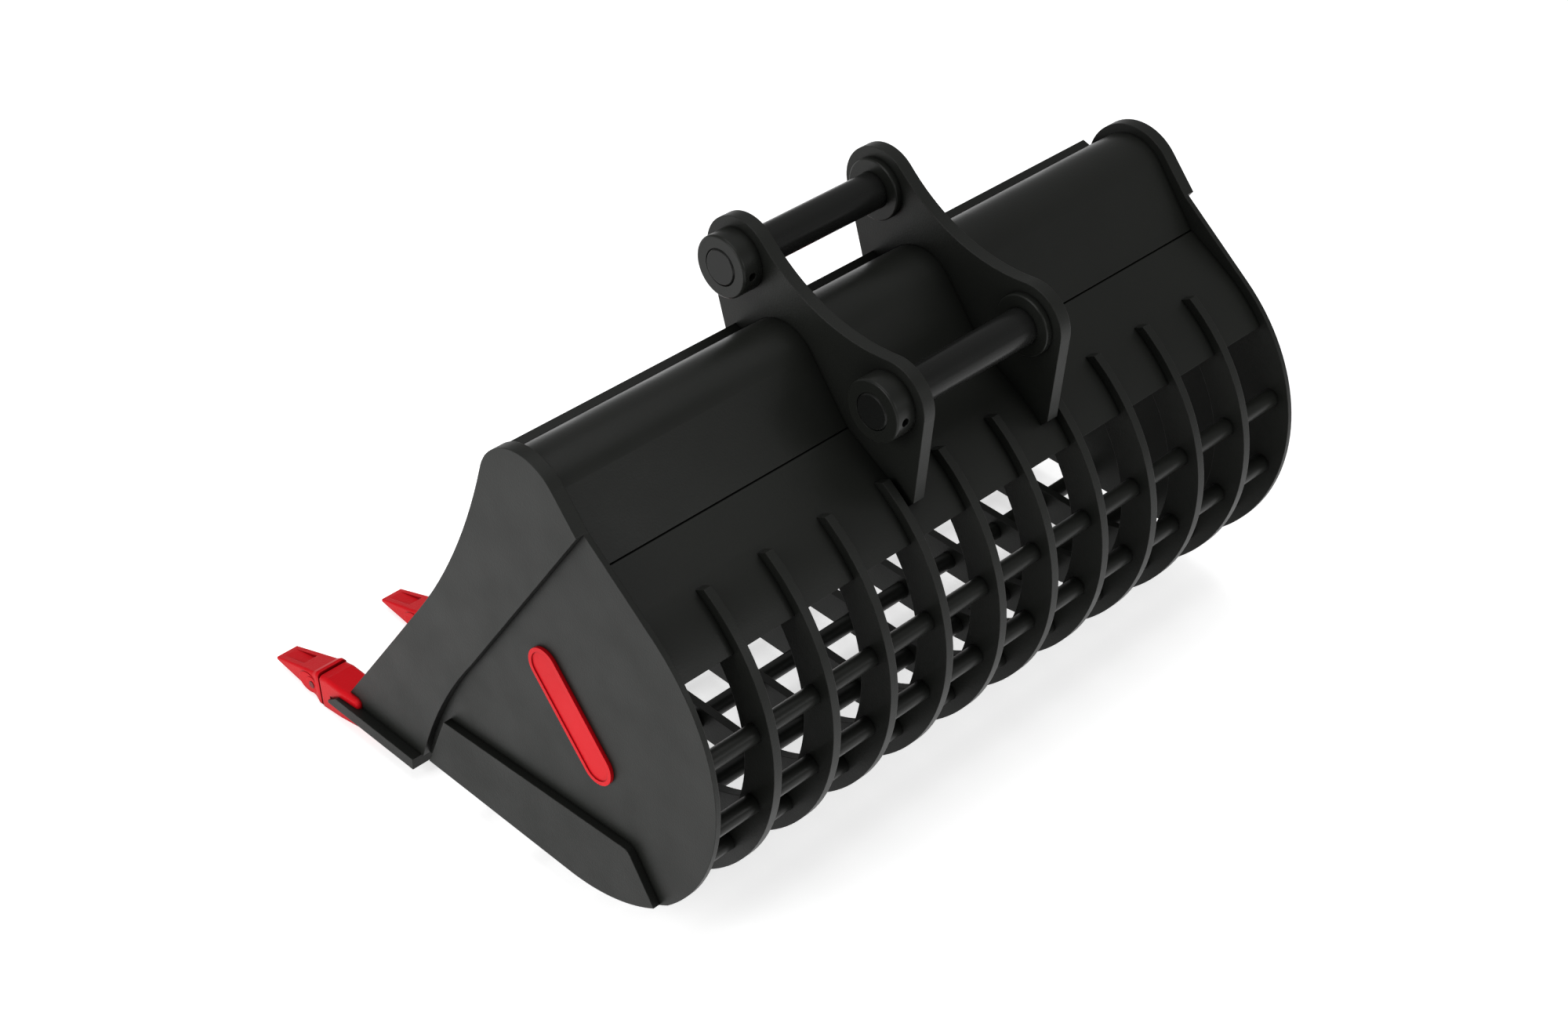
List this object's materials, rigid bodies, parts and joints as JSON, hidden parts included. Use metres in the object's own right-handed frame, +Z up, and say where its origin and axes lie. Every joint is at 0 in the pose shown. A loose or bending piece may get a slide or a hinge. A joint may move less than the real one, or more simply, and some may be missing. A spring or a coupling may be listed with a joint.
{
  "type": "excavator bucket",
  "caption": "Wide skeleton bucket for an excavator, with a ribbed sieve floor and back, replaceable teeth and a pair of pinned hinge ears.",
  "frame": {"origin": "centre of the dipper pin, midway between the two ears", "axes": "+X across the bucket along the pins, -Y towards the mouth and teeth, +Z up, with the bucket's flat floor level"},
  "size_m": [1.844, 1.341, 1.187],
  "materials": {
    "black_enamel": "satin",
    "lock_steel": "satin",
    "pin_steel": "satin, blackened",
    "red_enamel": "satin",
    "wear_steel": "satin"
  },
  "bodies": {
    "bucket": {"adapter_1": "red_enamel", "adapter_2": "red_enamel", "adapter_3": "red_enamel", "adapter_4": "red_enamel", "adapter_5": "red_enamel", "adapter_6": "red_enamel", "adapter_7": "red_enamel", "back_plate": "black_enamel", "badge_left": "red_enamel", "badge_right": "red_enamel", "cross_bar_1": "black_enamel", "cross_bar_2": "black_enamel", "cross_bar_3": "black_enamel", "cross_bar_4": "black_enamel", "cross_bar_5": "black_enamel", "cross_bar_6": "black_enamel", "cross_bar_7": "black_enamel", "dipper_boss": "black_enamel", "dipper_collar_left": "black_enamel", "dipper_collar_outer": "black_enamel", "dipper_collar_right": "black_enamel", "ear_left": "black_enamel", "ear_right": "black_enamel", "link_boss": "black_enamel", "link_collar_left": "black_enamel", "link_collar_outer": "black_enamel", "link_collar_right": "black_enamel", "lip_plate": "wear_steel", "mouth_bar": "black_enamel", "rib_01": "black_enamel", "rib_02": "black_enamel", "rib_03": "black_enamel", "rib_04": "black_enamel", "rib_05": "black_enamel", "rib_06": "black_enamel", "rib_07": "black_enamel", "rib_08": "black_enamel", "rib_09": "black_enamel", "rib_10": "black_enamel", "roller_wrapper": "black_enamel", "side_bar_left": "black_enamel", "side_bar_right": "black_enamel", "side_plate_left": "black_enamel", "side_plate_right": "black_enamel", "side_wear_plate_left": "black_enamel", "side_wear_plate_right": "black_enamel", "tooth_1": "red_enamel", "tooth_2": "red_enamel", "tooth_3": "red_enamel", "tooth_4": "red_enamel", "tooth_5": "red_enamel", "tooth_6": "red_enamel", "tooth_7": "red_enamel", "tooth_lock_pins": "lock_steel", "torsion_box_plate": "black_enamel"},
    "front_pin": {"dipper_pin": "pin_steel"},
    "rear_pin": {"link_pin": "pin_steel"}
  },
  "joints": [
    {"name": "dipper_pin_slide", "type": "slide", "parent": "bucket", "child": "front_pin", "axis": [1, 0, 0], "range_m": [0, 0.44]},
    {"name": "link_pin_slide", "type": "slide", "parent": "bucket", "child": "rear_pin", "axis": [1, 0, 0], "range_m": [0, 0.44]}
  ]
}
